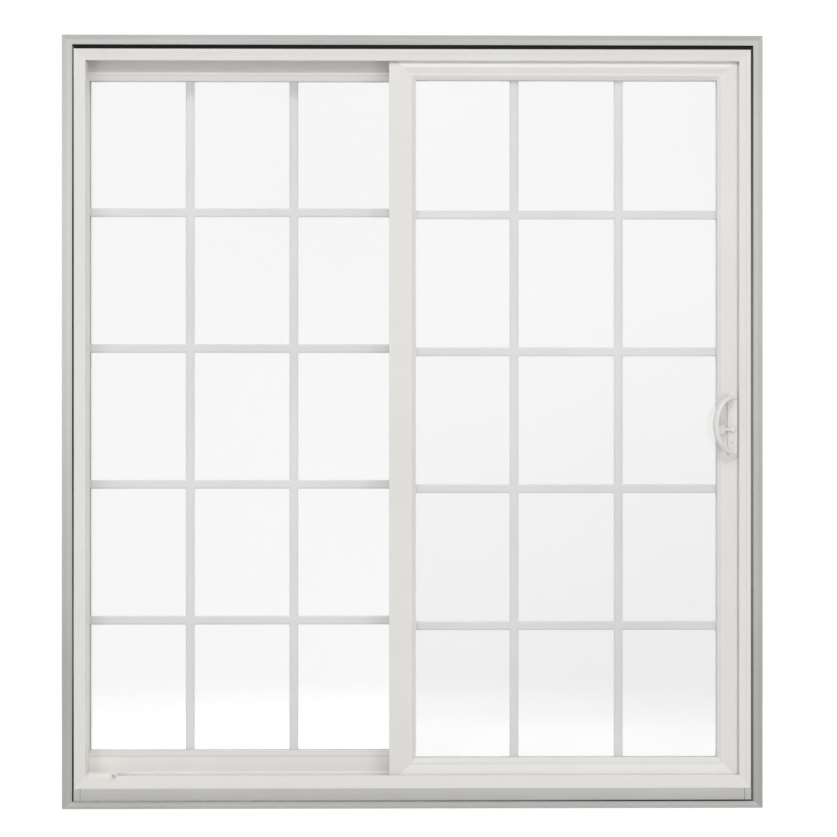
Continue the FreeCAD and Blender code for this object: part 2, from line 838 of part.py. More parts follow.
def build_sliding_panel():
    widths = {"left": meeting_stile_width, "right": lock_stile_width,
              "top": sliding_top_width, "bottom": sliding_bottom_width}
    daylight = (slide_left + widths["left"], slide_right - widths["right"],
                slide_foot + widths["bottom"], slide_head - widths["top"])
    names = {"left": "meeting_stile", "right": "lock_stile",
             "top": "sliding_top_rail", "bottom": "sliding_bottom_rail"}
    for side, name in names.items():
        piece = panel_ring(side, daylight, widths, member_profile(widths[side], slide_front)).cut(edge_step())
        if side == "left":
            root = slide_left + hook_from_edge
            piece = fused([piece, hook(root, slide_back, 1)])
        if side == "right":
            piece = piece.cut(fused([lock_case_space(), faceplate_space()]))
        if side == "bottom":
            for centre in roller_centres():
                piece = piece.cut(carriage_space(centre, slide_foot))
        save(name, piece)
    glass_unit("sliding", daylight, slide_front, sliding_grid_drop)
    save("roller_carriages", roller_carriages())
    save("roller_wheels", roller_wheels())


def build_hardware():
    pivot = latch_pivot()
    hole = Part.makeCylinder(latch_pin_radius + latch_pin_clearance, plate_thickness * 2,
                             pivot + V(0, plate_thickness, 0), V(0, -1, 0))
    save("mortise_lock", mortise_lock())
    save("room_handle_plate", handle_plate(-1).cut(hole))
    save("garden_handle_plate", handle_plate(1))
    save("room_pull", pull(-1, room_pull_lean))
    save("garden_pull", pull(1, garden_pull_lean))
    save("thumb_latch", thumb_latch())


os.makedirs("parts", exist_ok=True)
build_frame()
build_fixed_panel()
build_sliding_panel()
build_hardware()
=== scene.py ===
# Sliding patio door, seen from the room: finishes, handle, screws, seals, light and camera.
import math
import bmesh
import bpy
import numpy as np
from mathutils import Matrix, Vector


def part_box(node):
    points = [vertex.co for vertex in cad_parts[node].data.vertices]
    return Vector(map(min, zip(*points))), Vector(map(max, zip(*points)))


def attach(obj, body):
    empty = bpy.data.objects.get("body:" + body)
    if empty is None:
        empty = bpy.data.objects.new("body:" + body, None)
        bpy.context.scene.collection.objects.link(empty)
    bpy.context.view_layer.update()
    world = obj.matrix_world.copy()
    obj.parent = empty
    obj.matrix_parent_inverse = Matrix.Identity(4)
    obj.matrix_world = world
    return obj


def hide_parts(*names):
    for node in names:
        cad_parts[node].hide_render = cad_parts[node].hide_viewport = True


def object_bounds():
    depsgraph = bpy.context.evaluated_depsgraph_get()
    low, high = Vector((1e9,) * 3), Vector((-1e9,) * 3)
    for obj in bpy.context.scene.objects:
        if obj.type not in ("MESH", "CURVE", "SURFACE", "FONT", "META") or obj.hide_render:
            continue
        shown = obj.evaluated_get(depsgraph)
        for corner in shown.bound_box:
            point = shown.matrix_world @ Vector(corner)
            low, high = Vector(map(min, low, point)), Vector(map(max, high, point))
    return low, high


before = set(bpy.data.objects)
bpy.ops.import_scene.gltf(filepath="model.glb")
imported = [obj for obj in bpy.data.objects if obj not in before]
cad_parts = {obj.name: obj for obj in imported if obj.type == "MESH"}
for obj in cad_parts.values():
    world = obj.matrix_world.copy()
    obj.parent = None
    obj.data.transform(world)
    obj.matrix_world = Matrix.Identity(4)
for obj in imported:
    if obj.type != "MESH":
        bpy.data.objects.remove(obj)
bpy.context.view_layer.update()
print("frame loaded:", len(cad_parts), "nodes")

mm = 0.001


def nodeBox(node):
    low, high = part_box(node)
    return np.array(low, float), np.array(high, float)


# mesh makers: every shape is a grid of points, worked out as whole arrays

def gridFaces(rows, columns, start, wrapRows, wrapColumns, closeEnds):
    # corner (i, j) is number start + i * columns + j; each cell becomes one quad, and with closeEnds the
    # first and the last row become one flat face each
    index = np.arange(rows * columns).reshape(rows, columns) + start
    full = np.concatenate([index, index[:1]], axis=0) if wrapRows else index
    full = np.concatenate([full, full[:, :1]], axis=1) if wrapColumns else full
    quads = np.stack([full[:-1, :-1], full[1:, :-1], full[1:, 1:], full[:-1, 1:]], axis=-1)
    faces = quads.reshape(-1, 4).tolist()
    if closeEnds:
        faces += [index[0].tolist(), index[-1][::-1].tolist()]
    return faces


def joinedMesh(name, parts, sharp):
    # several grids in one mesh; a part is (points, wrapRows, wrapColumns, closeEnds), sharp is in degrees
    corners, faces, count = [], [], 0
    for points, wrapRows, wrapColumns, closeEnds in parts:
        rows, columns = points.shape[:2]
        faces += gridFaces(rows, columns, count, wrapRows, wrapColumns, closeEnds)
        corners.append(points.reshape(-1, 3))
        count += rows * columns
    mesh = bpy.data.meshes.new(name)
    mesh.from_pydata(np.concatenate(corners).tolist(), [], faces)
    mesh.validate()
    mesh.update()
    piece = bpy.data.objects.new(name, mesh)
    bpy.context.scene.collection.objects.link(piece)
    turnOutward(mesh)
    mesh.shade_smooth()
    mesh.set_sharp_from_angle(angle=math.radians(sharp))
    return piece


def gridMesh(name, points, sharp, wrapRows=False, wrapColumns=False, closeEnds=False):
    return joinedMesh(name, [(points, wrapRows, wrapColumns, closeEnds)], sharp)


def turnOutward(mesh):
    bm = bmesh.new()
    bm.from_mesh(mesh)
    bmesh.ops.remove_doubles(bm, verts=bm.verts, dist=1e-7)
    bmesh.ops.recalc_face_normals(bm, faces=bm.faces)
    bm.to_mesh(mesh)
    bm.free()


def turned(profile, centre, axis, steps):
    # a profile of (radius, height) turned round an axis: centre + axis * height + radius * (cos, sin)
    axis = np.array(axis, float)
    side = np.cross(axis, (0.0, 0.0, 1.0)) if abs(axis[2]) < 0.9 else np.array((1.0, 0.0, 0.0))
    side = side / np.linalg.norm(side)
    up = np.cross(axis, side)
    turn = np.linspace(0, 2 * np.pi, steps, endpoint=False)
    ring = np.cos(turn)[:, None] * side + np.sin(turn)[:, None] * up
    profile = np.array(profile, float)
    return (np.array(centre, float) + profile[:, 1, None, None] * axis
            + profile[:, 0, None, None] * ring[None, :, :])


def rectangleRing(profile, low, high):
    # a profile of (inward distance, depth) carried round a rectangle; each corner moves along its diagonal
    cornerX = np.array([low[0], high[0], high[0], low[0]])
    cornerZ = np.array([low[2], low[2], high[2], high[2]])
    inwardX = np.array([1, -1, -1, 1.0])
    inwardZ = np.array([1, 1, -1, -1.0])
    profile = np.array(profile, float)
    x = cornerX[:, None] + inwardX[:, None] * profile[None, :, 0]
    z = cornerZ[:, None] + inwardZ[:, None] * profile[None, :, 0]
    y = np.broadcast_to(profile[None, :, 1], x.shape)
    return np.stack([x, y, z], axis=-1)


def rounded(angles, power):
    # both coordinates of a superellipse: sign(cos) * |cos| ** power and sign(sin) * |sin| ** power
    across, upright = np.cos(angles), np.sin(angles)
    return np.sign(across) * np.abs(across) ** power, np.sign(upright) * np.abs(upright) ** power


def finishPiece(piece, body, slotName, material, *nodes):
    piece.data.materials.clear()
    piece.data.materials.append(material)
    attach(piece, body)
    if nodes:
        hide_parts(*nodes)
    return piece


# node makers for the materials

def newMaterial(name):
    material = bpy.data.materials.new(name)
    material.use_nodes = True
    nodes, links = material.node_tree.nodes, material.node_tree.links
    return material, nodes, links, nodes["Principled BSDF"]


def srgb(red, green, blue):
    # display values of 0 to 255 turned into the linear colour that the shader wants
    value = np.array([red, green, blue]) / 255.0
    linear = np.where(value <= 0.04045, value / 12.92, ((value + 0.055) / 1.055) ** 2.4)
    return (*linear.tolist(), 1.0)


def timesTone(tone, factor):
    return tuple(min(1.0, c * factor) for c in tone[:3]) + (1.0,)


def objectCoords(nodes, links, scale=(1.0, 1.0, 1.0)):
    coords = nodes.new("ShaderNodeTexCoord")
    mapping = nodes.new("ShaderNodeMapping")
    mapping.inputs["Scale"].default_value = scale
    links.new(coords.outputs["Object"], mapping.inputs["Vector"])
    return mapping.outputs["Vector"]


def placeAlong(nodes, links, axis):
    coords = nodes.new("ShaderNodeTexCoord")
    apart = nodes.new("ShaderNodeSeparateXYZ")
    links.new(coords.outputs["Object"], apart.inputs["Vector"])
    return apart.outputs[axis]


def noise(nodes, links, vector, scale, detail=3.0):
    texture = nodes.new("ShaderNodeTexNoise")
    texture.inputs["Scale"].default_value = scale
    texture.inputs["Detail"].default_value = detail
    texture.inputs["Roughness"].default_value = 0.55
    links.new(vector, texture.inputs["Vector"])
    return texture.outputs["Fac"]


def ramp(nodes, links, factor, stops):
    band = nodes.new("ShaderNodeValToRGB")
    while len(band.color_ramp.elements) < len(stops):
        band.color_ramp.elements.new(0.5)
    for element, (place, color) in zip(band.color_ramp.elements, stops):
        element.position = place
        element.color = color
    links.new(factor, band.inputs["Fac"])
    return band.outputs["Color"]


def spread(nodes, links, factor, low, high, fromLow=0.0, fromHigh=1.0, kind="LINEAR"):
    span = nodes.new("ShaderNodeMapRange")
    span.interpolation_type = kind
    span.inputs["From Min"].default_value = fromLow
    span.inputs["From Max"].default_value = fromHigh
    span.inputs["To Min"].default_value = low
    span.inputs["To Max"].default_value = high
    links.new(factor, span.inputs["Value"])
    return span.outputs["Result"]


def mathOf(nodes, links, kind, first, second=None):
    # one step of arithmetic; each input is a socket or a plain number
    step = nodes.new("ShaderNodeMath")
    step.operation = kind
    for place, value in enumerate((first, second)):
        if isinstance(value, float):
            step.inputs[place].default_value = value
        elif value is not None:
            links.new(value, step.inputs[place])
    return step.outputs[0]


def bump(nodes, links, height, shader, strength, distance):
    relief = nodes.new("ShaderNodeBump")
    relief.inputs["Strength"].default_value = strength
    relief.inputs["Distance"].default_value = distance
    links.new(height, relief.inputs["Height"])
    links.new(relief.outputs["Normal"], shader.inputs["Normal"])


def mixColors(nodes, links, first, second):
    shade = nodes.new("ShaderNodeMix")
    shade.data_type = "RGBA"
    shade.blend_type = "MULTIPLY"
    shade.inputs["Factor"].default_value = 1.0
    links.new(first, shade.inputs["A"])
    links.new(second, shade.inputs["B"])
    return shade.outputs["Result"]


def mixShaders(nodes, links, factor, first, second):
    mix = nodes.new("ShaderNodeMixShader")
    links.new(factor, mix.inputs["Fac"])
    links.new(first, mix.inputs[1])
    links.new(second, mix.inputs[2])
    links.new(mix.outputs["Shader"], nodes["Material Output"].inputs["Surface"])


def toneAlong(nodes, links, axis, stops):
    # a linear grey multiplier that follows one coordinate; stops are (metres, grey)
    low, high = stops[0][0], stops[-1][0]
    share = spread(nodes, links, placeAlong(nodes, links, axis), 0.0, 1.0, low, high)
    grey = [((place - low) / (high - low), (level, level, level, 1.0)) for place, level in stops]
    return ramp(nodes, links, share, grey)


# finishes

def extrudedVinyl(name, along, tone, axis=None, stops=None):
    # satin vinyl: faint draw lines along the extrusion, a fine pebble, and slow changes of tone
    stretch = {"x": (3.0, 260.0, 260.0), "z": (260.0, 260.0, 3.0)}[along]
    material, nodes, links, shader = newMaterial(name)
    plain = objectCoords(nodes, links)
    lines = noise(nodes, links, objectCoords(nodes, links, stretch), 1.0, 2.0)
    pebble = noise(nodes, links, plain, 900.0, 2.0)
    cloud = noise(nodes, links, plain, 1.6)
    color = ramp(nodes, links, cloud, [(0.3, timesTone(tone, 0.965)), (0.7, timesTone(tone, 1.02))])
    if axis:  # painted light and shade: the tone also changes across or up the member, stops are (metres, grey)
        color = mixColors(nodes, links, color, toneAlong(nodes, links, axis, stops))
    links.new(color, shader.inputs["Base Color"])
    links.new(spread(nodes, links, lines, 0.36, 0.52), shader.inputs["Roughness"])
    shader.inputs["Specular IOR Level"].default_value = 0.42
    bump(nodes, links, mathOf(nodes, links, "ADD", lines, pebble), shader, 0.18, 0.00012)
    return material


def paintedMetal(name, tone, along, rough):
    # powder-painted metal: drawn direction in the sheen, orange-peel bump
    stretch = {"x": (2.0, 180.0, 180.0), "z": (180.0, 180.0, 2.0)}[along]
    material, nodes, links, shader = newMaterial(name)
    plain = objectCoords(nodes, links)
    drawn = noise(nodes, links, objectCoords(nodes, links, stretch), 1.0)
    peel = noise(nodes, links, plain, 520.0, 2.0)
    cloud = noise(nodes, links, plain, 2.2, 4.0)
    color = ramp(nodes, links, cloud, [(0.3, timesTone(tone, 0.94)), (0.72, timesTone(tone, 1.04))])
    links.new(color, shader.inputs["Base Color"])
    links.new(spread(nodes, links, drawn, rough - 0.07, rough + 0.09), shader.inputs["Roughness"])
    shader.inputs["Specular IOR Level"].default_value = 0.5
    bump(nodes, links, peel, shader, 0.2, 0.0001)
    return material


facetSizes = {
    "innerEdge": 15 * mm,       # from the flange's outer edge to the bend, where the painted shade of the outer facet begins
    "outerEdge": 11 * mm,
}


def flangePaint(name, tone, axis, along, facet, stops):
    # painted shade: the outer facet of the flange is the inner one's tone times facet, by the distance from the
    # middle of the door along one axis, and a painted falloff of light changes the tone slowly along the strip
    material = paintedMetal(name, tone, along, 0.42)
    nodes, links = material.node_tree.nodes, material.node_tree.links
    shader = nodes["Principled BSDF"]
    plain = shader.inputs["Base Color"].links[0].from_socket
    low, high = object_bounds()
    middle, half = (low + high) / 2, (high - low) / 2
    which = "XYZ".index(axis)
    offset = mathOf(nodes, links, "SUBTRACT", placeAlong(nodes, links, axis), float(middle[which]))
    away = mathOf(nodes, links, "ABSOLUTE", offset)
    edge = half[which]
    # painted shade of the outer facet
    band = spread(nodes, links, away, 1.0, facet, edge - facetSizes["innerEdge"], edge - facetSizes["outerEdge"],
                  "SMOOTHSTEP")
    faceted = mixColors(nodes, links, plain, band)
    # painted falloff of light along the strip
    slow = toneAlong(nodes, links, "Z" if axis == "X" else "X", stops)
    links.new(mixColors(nodes, links, faceted, slow), shader.inputs["Base Color"])
    return material


def blackRubber(name, axis, stops):
    # black rubber with dusty grain and sheen in places; the grey along the strip is painted light and shade of
    # its groove: stops are (metres along, display grey)
    material, nodes, links, shader = newMaterial(name)
    plain = objectCoords(nodes, links)
    dust = noise(nodes, links, plain, 60.0, 4.0)
    grain = ramp(nodes, links, dust, [(0.35, (0.8, 0.8, 0.8, 1.0)), (0.8, (1.0, 1.0, 1.0, 1.0))])
    base = toneAlong(nodes, links, axis, [(place, srgb(grey, grey, grey)[0]) for place, grey in stops])
    tint = nodes.new("ShaderNodeRGB")
    tint.outputs[0].default_value = (1.0, 0.985, 0.94, 1.0)
    warm = mixColors(nodes, links, base, tint.outputs[0])
    links.new(mixColors(nodes, links, warm, grain), shader.inputs["Base Color"])
    links.new(spread(nodes, links, dust, 0.62, 0.82), shader.inputs["Roughness"])
    shader.inputs["Specular IOR Level"].default_value = 0.25
    bump(nodes, links, noise(nodes, links, plain, 1400.0, 1.0), shader, 0.25, 0.0001)
    return material


def clearPane(name, tint, upStops, acrossStops):
    # thin float glass: what is behind shows through a faint tint with a random haze, darkened slowly up and
    # across the pane as painted shade, and the face mirrors 4 % of the room, more towards a grazing view, as
    # 0.04 + 0.96 * (1 - cosine) ** 5
    material, nodes, links, shader = newMaterial(name)
    shader.inputs["Base Color"].default_value = (0.97, 0.98, 0.98, 1.0)
    shader.inputs["Metallic"].default_value = 1.0
    shader.inputs["Roughness"].default_value = 0.03
    haze = noise(nodes, links, objectCoords(nodes, links), 0.9, 2.0)
    even = ramp(nodes, links, haze, [(0.3, tint), (0.75, timesTone(tint, 1.006))])
    # painted shade: the stops up and across the pane darken what shows through
    upward = mixColors(nodes, links, even, toneAlong(nodes, links, "Z", upStops))
    clear = nodes.new("ShaderNodeBsdfTransparent")
    links.new(mixColors(nodes, links, upward, toneAlong(nodes, links, "X", acrossStops)), clear.inputs["Color"])
    facing = nodes.new("ShaderNodeLayerWeight")
    facing.inputs["Blend"].default_value = 0.5
    steep = mathOf(nodes, links, "POWER", facing.outputs["Facing"], 5.0)
    mirrored = spread(nodes, links, steep, 0.04, 1.0)
    mixShaders(nodes, links, mirrored, clear.outputs["BSDF"], shader.outputs["BSDF"])
    return material


def brushedSteel(name, tone, rough):
    material, nodes, links, shader = newMaterial(name)
    grain = noise(nodes, links, objectCoords(nodes, links, (40.0, 900.0, 900.0)), 1.0)
    cloud = noise(nodes, links, objectCoords(nodes, links), 30.0)
    color = ramp(nodes, links, cloud, [(0.3, timesTone(tone, 0.85)), (0.7, tone)])
    links.new(color, shader.inputs["Base Color"])
    links.new(spread(nodes, links, grain, rough - 0.08, rough + 0.12), shader.inputs["Roughness"])
    shader.inputs["Metallic"].default_value = 1.0
    bump(nodes, links, grain, shader, 0.15, 0.0001)
    return material


def spacerMetal(name):
    # mill-finish spacer bar with rows of small breather holes
    material, nodes, links, shader = newMaterial(name)
    plain = objectCoords(nodes, links)
    cells = nodes.new("ShaderNodeTexVoronoi")
    cells.inputs["Scale"].default_value = 210.0
    cells.inputs["Randomness"].default_value = 0.0
    links.new(plain, cells.inputs["Vector"])
    dots = ramp(nodes, links, cells.outputs["Distance"],
                [(0.12, srgb(70, 70, 70)), (0.2, srgb(186, 188, 190))])
    links.new(dots, shader.inputs["Base Color"])
    shader.inputs["Metallic"].default_value = 0.55
    links.new(spread(nodes, links, noise(nodes, links, plain, 300.0), 0.3, 0.5), shader.inputs["Roughness"])
    bump(nodes, links, cells.outputs["Distance"], shader, 0.2, 0.0003)
    return material


def nylon(name, tone):
    material, nodes, links, shader = newMaterial(name)
    speck = noise(nodes, links, objectCoords(nodes, links), 240.0)
    color = ramp(nodes, links, speck, [(0.35, tone), (0.75, timesTone(tone, 1.25))])
    links.new(color, shader.inputs["Base Color"])
    links.new(spread(nodes, links, speck, 0.4, 0.6), shader.inputs["Roughness"])
    bump(nodes, links, speck, shader, 0.15, 0.0001)
    return material


def pileCloth(name, tone):
    # brush pile: fine upright hairs in lighter and darker streaks
    material, nodes, links, shader = newMaterial(name)
    hairs = noise(nodes, links, objectCoords(nodes, links, (2600.0, 300.0, 2600.0)), 1.0, 2.0)
    color = ramp(nodes, links, hairs, [(0.3, timesTone(tone, 0.55)), (0.7, tone)])
    links.new(color, shader.inputs["Base Color"])
    shader.inputs["Roughness"].default_value = 0.95
    shader.inputs["Sheen Weight"].default_value = 0.5
    bump(nodes, links, hairs, shader, 0.8, 0.0006)
    return material


# painted light and shade: these are lit and shaded copies of one white vinyl and one grey flange paint,
# headVinyl darker, sillVinyl, recessVinyl, lowVinyl, jambVinyl and fixedBead lighter, the four flange tones each
# different, and seal set pale as painted light in its shaded pocket
tones = {
    "vinyl": srgb(221, 219, 215),
    "headVinyl": srgb(217, 215, 211),
    "sillVinyl": srgb(242, 240, 236),
    "recessVinyl": srgb(249, 247, 243),
    "lowVinyl": srgb(232, 230, 226),
    "jambVinyl": srgb(239, 237, 233),
    "bead": srgb(222, 220, 217),
    "fixedBead": srgb(235, 233, 230),
    "leftFlange": srgb(207, 207, 204),
    "rightFlange": srgb(194, 194, 191),
    "headFlange": srgb(192, 192, 189),
    "sillFlange": srgb(196, 196, 193),
    "sillBand": srgb(186, 185, 182),
    "sillCap": srgb(187, 186, 184),
    "grid": srgb(217, 217, 217),
    "handle": srgb(224, 222, 218),
    "steel": srgb(196, 196, 194),
    "seal": srgb(222, 221, 218),
    "pile": srgb(150, 150, 150),
    "roller": srgb(58, 58, 60),
    "glass": srgb(253, 253, 253),
}
headLip = 31.5 * mm  # height of the head's lip: the fixed top rail is darkened towards its foot as painted shade
recessLow, recessHigh = nodeBox("fixed_top_rail")
reveal = nodeBox("head_member")[1][2] - headLip
# below, stops of painted light and shade are (metres, linear grey), and those of the rubbers (metres, display
# grey)
vinylUpright = extrudedVinyl("vinyl_upright", "z", tones["vinyl"])
vinylHead = extrudedVinyl("vinyl_head", "x", tones["headVinyl"])
# painted light and shade: a darker band across the sliding top rail at 1.974 to 1.985 m, lighter below it and
# towards the head lip
vinylTopRailPaintedShading = extrudedVinyl("vinyl_top_rail_painted_shading", "x", tones["sillVinyl"], "Z", [
    (1.958, 0.96), (1.966, 0.96), (1.974, 0.76), (1.985, 0.76), (1.995, 0.97)])
# painted light: the sill's divider and inner track behind its front are a lighter copy of the vinyl
vinylSillPaintedLight = extrudedVinyl("vinyl_sill_painted_light", "x", tones["sillVinyl"], "Y", [
    (-0.012, 0.86), (0.036, 0.86), (0.045, 1.0), (0.09, 1.0)])
# painted light: the bottom rails, the stop and the plug are a lighter copy of the vinyl
vinylLowPaintedLight = extrudedVinyl("vinyl_low_painted_light", "x", tones["lowVinyl"])
# painted light: the jambs' reveals behind their front faces are a lighter copy of the vinyl
vinylJambPaintedLight = extrudedVinyl("vinyl_jamb_painted_light", "z", tones["jambVinyl"], "Y", [
    (-0.012, 0.84), (-0.0105, 0.84), (-0.004, 1.0), (0.09, 1.0)])
# painted shade of the head lip: the fixed top rail darkens towards the lip's foot, on a lighter copy of the
# vinyl
vinylRecessPaintedShading = extrudedVinyl("vinyl_recess_painted_shading", "x", tones["recessVinyl"], "Z", [
    (recessLow[2], 0.98), (reveal - 12 * mm, 1.0), (reveal - 3 * mm, 0.87), (reveal, 0.8),
    (recessHigh[2], 0.8)])
vinylBead = extrudedVinyl("vinyl_bead", "x", tones["bead"])
# painted shade: the fixed glazing bead is darker near the bottom, on a lighter copy of the vinyl
vinylFixedBeadPaintedShading = extrudedVinyl("vinyl_fixed_bead_painted_shading", "x", tones["fixedBead"], "Z", [
    (0.1, 0.86), (0.124, 0.86), (0.13, 0.78), (0.14, 0.78), (0.15, 0.93), (1.9, 1.0)])
# painted shade and light: the facet factor darkens each flange's outer facet, and the stops change its tone
# along the strip
flangeLeft = flangePaint("flange_paint_left", tones["leftFlange"], "X", "z", 0.98, [
    (0.0, 0.7), (0.23, 0.65), (0.39, 0.65), (0.553, 0.74), (0.876, 0.81), (1.2, 0.92), (1.52, 1.0),
    (1.84, 0.927), (2.07, 0.864)])
flangeRight = flangePaint("flange_paint_right", tones["rightFlange"], "X", "z", 0.97, [
    (0.0, 0.72), (0.23, 0.72), (0.39, 0.75), (0.553, 0.83), (0.714, 0.86), (0.876, 0.85), (1.2, 0.89),
    (1.52, 1.0), (2.07, 1.0)])
flangeHead = flangePaint("flange_paint_head", tones["headFlange"], "Z", "x", 0.74, [
    (-0.95, 1.0), (-0.6, 0.97), (-0.2, 0.83), (0.3, 0.97), (0.95, 1.0)])
flangeSill = flangePaint("flange_paint_sill", tones["sillFlange"], "Z", "x", 1.0, [
    (-0.95, 0.95), (-0.4, 1.0), (0.0, 0.97), (0.95, 1.0)])
sillBand = paintedMetal("sill_band_paint", tones["sillBand"], "x", 0.4)
sillCap = paintedMetal("sill_cap_paint", tones["sillCap"], "x", 0.45)
gridPaint = paintedMetal("grid_paint", tones["grid"], "z", 0.45)
handlePaint = paintedMetal("handle_enamel", tones["handle"], "z", 0.28)
# painted light and shade: near black along the head, and grey that changes up the sides and along the sill as
# light reaches into each groove
headRubber = blackRubber("gasket_head", "X", [(-0.9, 4), (0.0, 18), (0.9, 8)])
leftRubber = blackRubber("gasket_left", "Z", [
    (0.0, 8), (0.12, 12), (0.25, 70), (0.4, 110), (0.7, 84), (0.95, 20), (1.2, 4), (1.55, 8), (1.8, 84),
    (2.05, 130)])
rightRubber = blackRubber("gasket_right", "Z", [
    (0.0, 114), (0.25, 118), (0.9, 140), (1.3, 132), (1.6, 108), (1.84, 82), (2.05, 60)])
sillRubber = blackRubber("gasket_sill", "X", [
    (-0.93, 205), (-0.4, 196), (0.0, 174), (0.35, 142), (0.6, 78), (0.93, 80)])
# painted shade: the fixed pane darkens slightly towards its top, the sliding pane towards its bottom and its
# right side
leftPane = clearPane("glass_fixed", tones["glass"], [(0.1, 1.0), (2.0, 0.995)], [(-0.9, 1.0), (0.0, 1.0)])
rightPane = clearPane("glass_sliding", tones["glass"], [(0.1, 0.975), (0.6, 0.982), (1.4, 1.0), (2.0, 1.0)],
                      [(0.0, 1.0), (0.84, 0.994)])
railSteel = brushedSteel("rail_steel", tones["steel"], 0.3)
lockSteel = brushedSteel("lock_steel", tones["steel"], 0.38)
spacerBar = spacerMetal("spacer_bar")
rollerNylon = nylon("roller_nylon", tones["roller"])
sealRubber = nylon("seal_vinyl", tones["seal"])
pileGrey = pileCloth("pile_grey", tones["pile"])
print("materials made")

nodeFinish = {
    "head_member": vinylHead, "sill_member": vinylSillPaintedLight, "left_jamb": vinylJambPaintedLight,
    "right_jamb": vinylJambPaintedLight, "panel_stop": vinylLowPaintedLight, "fixed_jamb_stile": vinylUpright,
    "fixed_interlock_stile": vinylUpright, "fixed_top_rail": vinylRecessPaintedShading,
    "fixed_bottom_rail": vinylLowPaintedLight, "fixed_glazing_bead": vinylFixedBeadPaintedShading, "meeting_stile": vinylUpright,
    "lock_stile": vinylUpright, "sliding_top_rail": vinylTopRailPaintedShading, "sliding_bottom_rail": vinylLowPaintedLight,
    "sliding_glazing_bead": vinylBead, "sill_nose": sillBand, "sill_end_caps": sillCap,
    "head_flange": flangeHead, "sill_flange": flangeSill, "left_flange": flangeLeft,
    "right_flange": flangeRight, "head_gasket": headRubber, "left_gasket": leftRubber,
    "right_gasket": rightRubber, "sill_gasket": sillRubber, "fixed_room_pane": leftPane,
    "fixed_garden_pane": leftPane, "sliding_room_pane": rightPane, "sliding_garden_pane": rightPane,
    "fixed_spacer": spacerBar, "sliding_spacer": spacerBar, "fixed_grid": gridPaint,
    "sliding_grid": gridPaint, "roller_rail": railSteel, "strike_keeper": lockSteel,
    "mortise_lock": lockSteel, "roller_carriages": lockSteel, "roller_wheels": rollerNylon,
    "room_handle_plate": handlePaint, "garden_handle_plate": handlePaint, "room_pull": handlePaint,
    "garden_pull": handlePaint, "thumb_latch": handlePaint,
}
for nodeName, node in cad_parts.items():
    node.data.materials.clear()
    node.data.materials.append(nodeFinish[nodeName])
    if nodeName.endswith("_pane"):  # diffuse and shadow rays skip the panes, so bars behind four stay lit
        node.visible_shadow = False
        node.visible_diffuse = False
print("finishes on", len(nodeFinish), "nodes")


# handle set

plateSizes = {
    "crown": 0.6 * mm,          # the face rises by this towards its middle
    "roll": 2.2 * mm,           # radius of the rolled edge
    "crownRings": (0.5, 0.85),  # rings on the crown, in shares of the half width
}


def stadium(halfWidths, halfHeights, steps):
    # rectangles with half-round ends, one row for each pair of half sizes: a half circle about a centre on the
    # long axis, and the same turned by half a turn for the other end
    turn = np.linspace(0, np.pi, steps)
    across = np.outer(halfWidths, np.cos(turn))
    upright = np.outer(halfWidths, np.sin(turn)) + (halfHeights - halfWidths)[:, None]
    return np.concatenate([across, -across], axis=1), np.concatenate([upright, -upright], axis=1)


def handlePlate(name, node, side):
    # rings of the stadium, each set in by an inset and raised by a height: upright rim, rolled edge, low crown
    low, high = nodeBox(node)
    centre = (low + high) / 2
    seat = high[1] if side < 0 else low[1]
    halfWidth, halfHeight = (high[0] - low[0]) / 2, (high[2] - low[2]) / 2
    thick, edge, crown = high[1] - low[1], plateSizes["roll"], plateSizes["crown"]
    roll = np.linspace(0, np.pi / 2, 7)
    inset = np.concatenate([[0.0], edge * (1 - np.cos(roll)), halfWidth * np.array(plateSizes["crownRings"])])
    height = np.concatenate([[0.0], thick - crown - edge + edge * np.sin(roll), [thick - crown * 0.2, thick]])
    across, upright = stadium(halfWidth - inset, halfHeight - inset, 20)
    depth = np.broadcast_to(seat + side * height[:, None], across.shape)
    points = np.stack([centre[0] + across, depth, centre[2] + upright], axis=-1)
    plate = gridMesh(name, points, 50, wrapColumns=True, closeEnds=True)
    return finishPiece(plate, "sliding_panel", "handle_white", handlePaint, node)


pullSizes = {
    "chord": 150 * mm,          # between the feet
    "sagitta": 65 * mm,         # how far the bow stands off
    "roomLean": 52.0,           # degrees towards the glass
    "gardenLean": 8.0,
    "halfWidth": 8.5 * mm,
    "halfThickness": 5.4 * mm,
    "waist": 0.12,              # share by which the middle of the bow is wider
    "flare": 2.4 * mm,          # the bow widens by this at its feet
    "flareFrom": 0.72,          # share of the half arc where the widening begins
    "overrun": 1.06,            # the arc runs on into the plate
    "ovalPower": 0.9,
    "footRadius": 12 * mm,
    "footHeight": 4 * mm,
    "footRim": 0.35,            # share of the foot's height that is upright
}


def pullFoot(centre, side):
    # a low foot turned round the pull's root: an upright rim, then a quarter ellipse in to the top
    radius, height, rim = pullSizes["footRadius"], pullSizes["footHeight"], pullSizes["footRim"]
    roll = np.linspace(0, np.pi / 2, 6)[1:]
    edge = np.stack([radius - height * (1 - rim) * (1 - np.cos(roll)),
                     height * (rim + (1 - rim) * np.sin(roll))], axis=-1)
    profile = np.concatenate([[(0.0, 0.0), (radius, 0.0), (radius, height * rim)], edge, [(0.0, height)]])
    return turned(profile, centre, (0, side, 0), 40)


